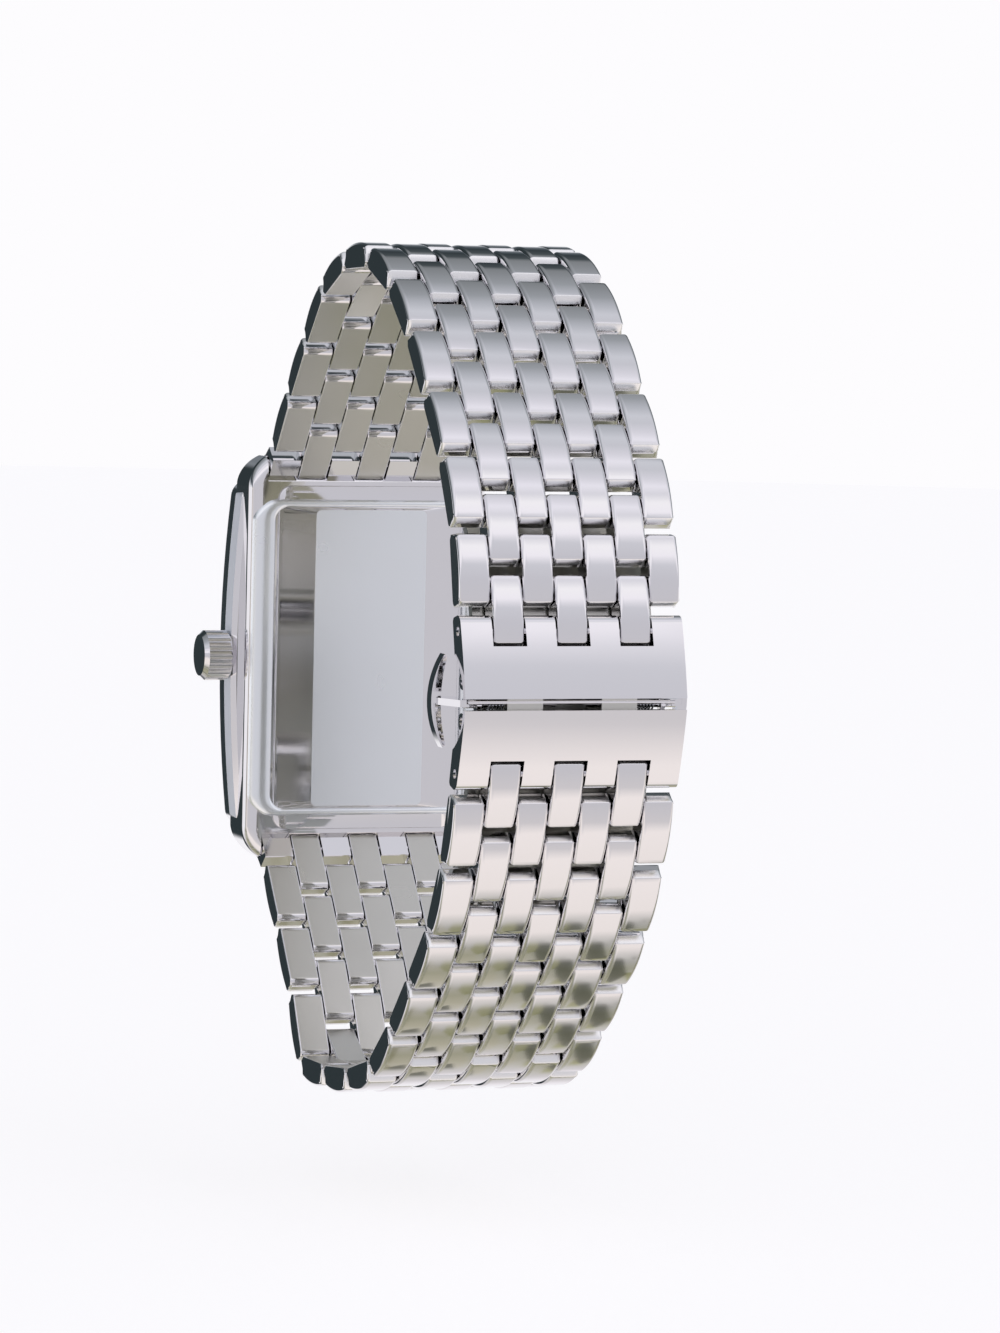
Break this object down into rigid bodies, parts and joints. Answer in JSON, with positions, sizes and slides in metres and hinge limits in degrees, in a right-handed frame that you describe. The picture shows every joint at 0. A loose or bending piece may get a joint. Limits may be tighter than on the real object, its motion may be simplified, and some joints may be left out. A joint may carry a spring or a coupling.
{
  "type": "rectangular wristwatch",
  "caption": "Rectangular wristwatch with four lugs, a bowed bezel, a fluted crown and a link bracelet closed by a folding clasp with side pushers.",
  "frame": {"origin": "centre of the case back's flat outer face", "axes": "+X towards 3 o'clock and the crown, +Y out of the case back towards the wrist and the clasp, +Z towards 12 o'clock; the dial faces -Y"},
  "size_m": [0.028, 0.0663, 0.0771],
  "materials": {
    "polished_steel": "polished stainless steel",
    "satin_steel": "satin-brushed stainless steel",
    "crystal": "clear mineral glass",
    "dial_paint": "satin lacquered dial",
    "gasket_rubber": "nitrile gasket",
    "brass": "gilt movement brass",
    "nickel_plate": "nickel-plated movement plate",
    "movement_plastic": "moulded holder",
    "circuit_green": "circuit board",
    "copper_wire": "enamelled copper winding",
    "spring_steel": "spring wire"
  },
  "bodies": {
    "case": {"case_body": "polished_steel", "bezel": "polished_steel", "crystal": "crystal", "crystal_gasket": "gasket_rubber", "case_back": "polished_steel", "case_back_gasket": "gasket_rubber", "crown_tube": "satin_steel", "dial": "dial_paint", "dial_markers": "polished_steel", "movement_holder": "movement_plastic", "main_plate": "nickel_plate", "train_bridge": "nickel_plate", "circuit_board": "circuit_green", "stepping_coil": "copper_wire", "battery": "satin_steel", "movement_screws": "spring_steel", "end_link_12": "polished_steel", "end_link_6": "polished_steel", "spring_bars": "spring_steel"},
    "seconds_arbor": {"seconds_wheel": "brass", "second_hand": "polished_steel"},
    "minute_arbor": {"minute_hand": "polished_steel"},
    "hour_pipe": {"hour_wheel": "brass", "hour_hand": "polished_steel"},
    "third_arbor": {"third_wheel": "brass"},
    "minute_wheel_arbor": {"minute_wheel": "brass"},
    "stem": {"winding_stem": "spring_steel"},
    "crown_knob": {"crown": "polished_steel"},
    "rows_12_11_12": {"bracelet_12_row_12": "polished_steel", "bracelet_12_row_11": "polished_steel"},
    "rows_12_09_10": {"bracelet_12_row_10": "polished_steel", "bracelet_12_row_09": "polished_steel"},
    "rows_12_07_08": {"bracelet_12_row_08": "polished_steel", "bracelet_12_row_07": "polished_steel"},
    "rows_12_05_06": {"bracelet_12_row_06": "polished_steel", "bracelet_12_row_05": "polished_steel"},
    "rows_12_03_04": {"bracelet_12_row_04": "polished_steel", "bracelet_12_row_03": "polished_steel"},
    "rows_12_01_02": {"bracelet_12_row_02": "polished_steel", "bracelet_12_row_01": "polished_steel"},
    "cover_12": {"clasp_cover_12": "polished_steel"},
    "blade_12": {"clasp_blade_12": "satin_steel"},
    "rows_6_11_12": {"bracelet_6_row_12": "polished_steel", "bracelet_6_row_11": "polished_steel"},
    "rows_6_09_10": {"bracelet_6_row_10": "polished_steel", "bracelet_6_row_09": "polished_steel"},
    "rows_6_07_08": {"bracelet_6_row_08": "polished_steel", "bracelet_6_row_07": "polished_steel"},
    "rows_6_05_06": {"bracelet_6_row_06": "polished_steel", "bracelet_6_row_05": "polished_steel"},
    "rows_6_03_04": {"bracelet_6_row_04": "polished_steel", "bracelet_6_row_03": "polished_steel"},
    "rows_6_01_02": {"bracelet_6_row_02": "polished_steel", "bracelet_6_row_01": "polished_steel"},
    "cover_6": {"clasp_cover_6": "polished_steel"},
    "blade_6": {"clasp_blade_6": "satin_steel"},
    "centre_plate": {"clasp_centre_plate": "satin_steel", "pusher_springs": "spring_steel"},
    "pusher_right": {"clasp_pusher_right": "polished_steel"},
    "pusher_left": {"clasp_pusher_left": "polished_steel"}
  },
  "joints": [
    {"name": "seconds_turn", "type": "hinge", "parent": "case", "child": "seconds_arbor", "pos_m": [0, 0, 0], "axis": [0, 1, 0], "continuous": true},
    {"name": "third_wheel_turn", "type": "hinge", "parent": "case", "child": "third_arbor", "pos_m": [-0.0024, 0, 0.0024], "axis": [0, 1, 0], "continuous": true},
    {"name": "minute_turn", "type": "hinge", "parent": "case", "child": "minute_arbor", "pos_m": [0, 0, 0], "axis": [0, 1, 0], "continuous": true},
    {"name": "minute_wheel_turn", "type": "hinge", "parent": "case", "child": "minute_wheel_arbor", "pos_m": [-0.00212, 0, -0.00212], "axis": [0, 1, 0], "continuous": true},
    {"name": "hour_turn", "type": "hinge", "parent": "case", "child": "hour_pipe", "pos_m": [0, 0, 0], "axis": [0, 1, 0], "continuous": true},
    {"name": "crown_pull", "type": "slide", "parent": "case", "child": "stem", "axis": [1, 0, 0], "range_m": [0, 0.001]},
    {"name": "crown_turn", "type": "hinge", "parent": "stem", "child": "crown_knob", "pos_m": [0, -0.0042, 0], "axis": [1, 0, 0], "continuous": true},
    {"name": "link_12_12", "type": "hinge", "parent": "case", "child": "rows_12_11_12", "pos_m": [0, -0.0012, 0.01827], "axis": [1, 0, 0], "range_deg": [0, 8.93]},
    {"name": "link_12_10", "type": "hinge", "parent": "rows_12_11_12", "child": "rows_12_09_10", "pos_m": [0, 0.00813, 0.02889], "axis": [1, 0, 0], "range_deg": [0, 17.88]},
    {"name": "link_12_08", "type": "hinge", "parent": "rows_12_09_10", "child": "rows_12_07_08", "pos_m": [0, 0.0194, 0.03714], "axis": [1, 0, 0], "range_deg": [0, 10.65]},
    {"name": "link_12_06", "type": "hinge", "parent": "rows_12_07_08", "child": "rows_12_05_06", "pos_m": [0, 0.03322, 0.03648], "axis": [1, 0, 0], "range_deg": [-1.24, 0]},
    {"name": "link_12_04", "type": "hinge", "parent": "rows_12_05_06", "child": "rows_12_03_04", "pos_m": [0, 0.0443, 0.02785], "axis": [1, 0, 0], "range_deg": [-5.93, 0]},
    {"name": "link_12_02", "type": "hinge", "parent": "rows_12_03_04", "child": "rows_12_01_02", "pos_m": [0, 0.05311, 0.01686], "axis": [1, 0, 0], "range_deg": [-6.47, 0]},
    {"name": "cover_12_turn", "type": "hinge", "parent": "rows_12_01_02", "child": "cover_12", "pos_m": [0, 0.05604, 0.0067], "axis": [1, 0, 0], "range_deg": [-4.79, 0]},
    {"name": "clasp_open", "type": "hinge", "parent": "cover_12", "child": "blade_12", "pos_m": [0, 0.05477, 0.0024], "axis": [1, 0, 0], "range_deg": [0, 111.51]},
    {"name": "link_6_12", "type": "hinge", "parent": "case", "child": "rows_6_11_12", "pos_m": [0, -0.0012, -0.01827], "axis": [1, 0, 0], "range_deg": [-9.78, 0]},
    {"name": "link_6_10", "type": "hinge", "parent": "rows_6_11_12", "child": "rows_6_09_10", "pos_m": [0, 0.00794, -0.02905], "axis": [1, 0, 0], "range_deg": [-17.56, 0]},
    {"name": "link_6_08", "type": "hinge", "parent": "rows_6_09_10", "child": "rows_6_07_08", "pos_m": [0, 0.01834, -0.03669], "axis": [1, 0, 0], "range_deg": [-10.15, 0]},
    {"name": "link_6_06", "type": "hinge", "parent": "rows_6_07_08", "child": "rows_6_05_06", "pos_m": [0, 0.03229, -0.03462], "axis": [1, 0, 0], "range_deg": [0, 1.25]},
    {"name": "link_6_04", "type": "hinge", "parent": "rows_6_05_06", "child": "rows_6_03_04", "pos_m": [0, 0.04355, -0.02623], "axis": [1, 0, 0], "range_deg": [0, 6.87]},
    {"name": "link_6_02", "type": "hinge", "parent": "rows_6_03_04", "child": "rows_6_01_02", "pos_m": [0, 0.05248, -0.01537], "axis": [1, 0, 0], "range_deg": [0, 7.32]},
    {"name": "cover_6_turn", "type": "hinge", "parent": "rows_6_01_02", "child": "cover_6", "pos_m": [0, 0.05604, -0.0054], "axis": [1, 0, 0], "range_deg": [0, 5.35]},
    {"name": "blade_6_turn", "type": "hinge", "parent": "cover_6", "child": "blade_6", "pos_m": [0, 0.05477, -0.0011], "axis": [1, 0, 0], "range_deg": [-117.19, 0]},
    {"name": "plate_turn", "type": "hinge", "parent": "blade_12", "child": "centre_plate", "pos_m": [0, 0.04827, 0.01715], "axis": [1, 0, 0], "range_deg": [-133.9, 0]},
    {"name": "pusher_right_press", "type": "slide", "parent": "centre_plate", "child": "pusher_right", "axis": [-1, 0, 0], "range_m": [0, 0.0005], "stiffness_N_per_m": 400, "springref_m": -0.0005},
    {"name": "pusher_left_press", "type": "slide", "parent": "centre_plate", "child": "pusher_left", "axis": [1, 0, 0], "range_m": [0, 0.0005], "stiffness_N_per_m": 400, "springref_m": -0.0005}
  ],
  "couplings": [
    {"joint": "third_wheel_turn", "follows": "seconds_turn", "ratio": -0.13333},
    {"joint": "minute_turn", "follows": "seconds_turn", "ratio": 0.016667},
    {"joint": "minute_wheel_turn", "follows": "seconds_turn", "ratio": -0.0055556},
    {"joint": "hour_turn", "follows": "seconds_turn", "ratio": 0.0013889},
    {"joint": "link_12_12", "follows": "clasp_open", "ratio": 0.077751},
    {"joint": "link_12_10", "follows": "clasp_open", "ratio": 0.15568},
    {"joint": "link_12_08", "follows": "clasp_open", "ratio": 0.092727},
    {"joint": "link_12_06", "follows": "clasp_open", "ratio": -0.010672},
    {"joint": "link_12_04", "follows": "clasp_open", "ratio": -0.051655},
    {"joint": "link_12_02", "follows": "clasp_open", "ratio": -0.056318},
    {"joint": "cover_12_turn", "follows": "clasp_open", "ratio": -0.0417},
    {"joint": "link_6_12", "follows": "clasp_open", "ratio": -0.085104},
    {"joint": "link_6_10", "follows": "clasp_open", "ratio": -0.1529},
    {"joint": "link_6_08", "follows": "clasp_open", "ratio": -0.088333},
    {"joint": "link_6_06", "follows": "clasp_open", "ratio": 0.010761},
    {"joint": "link_6_04", "follows": "clasp_open", "ratio": 0.059815},
    {"joint": "link_6_02", "follows": "clasp_open", "ratio": 0.063761},
    {"joint": "cover_6_turn", "follows": "clasp_open", "ratio": 0.046543},
    {"joint": "blade_6_turn", "follows": "clasp_open", "ratio": -1.0204},
    {"joint": "plate_turn", "follows": "clasp_open", "ratio": -1.1658}
  ]
}
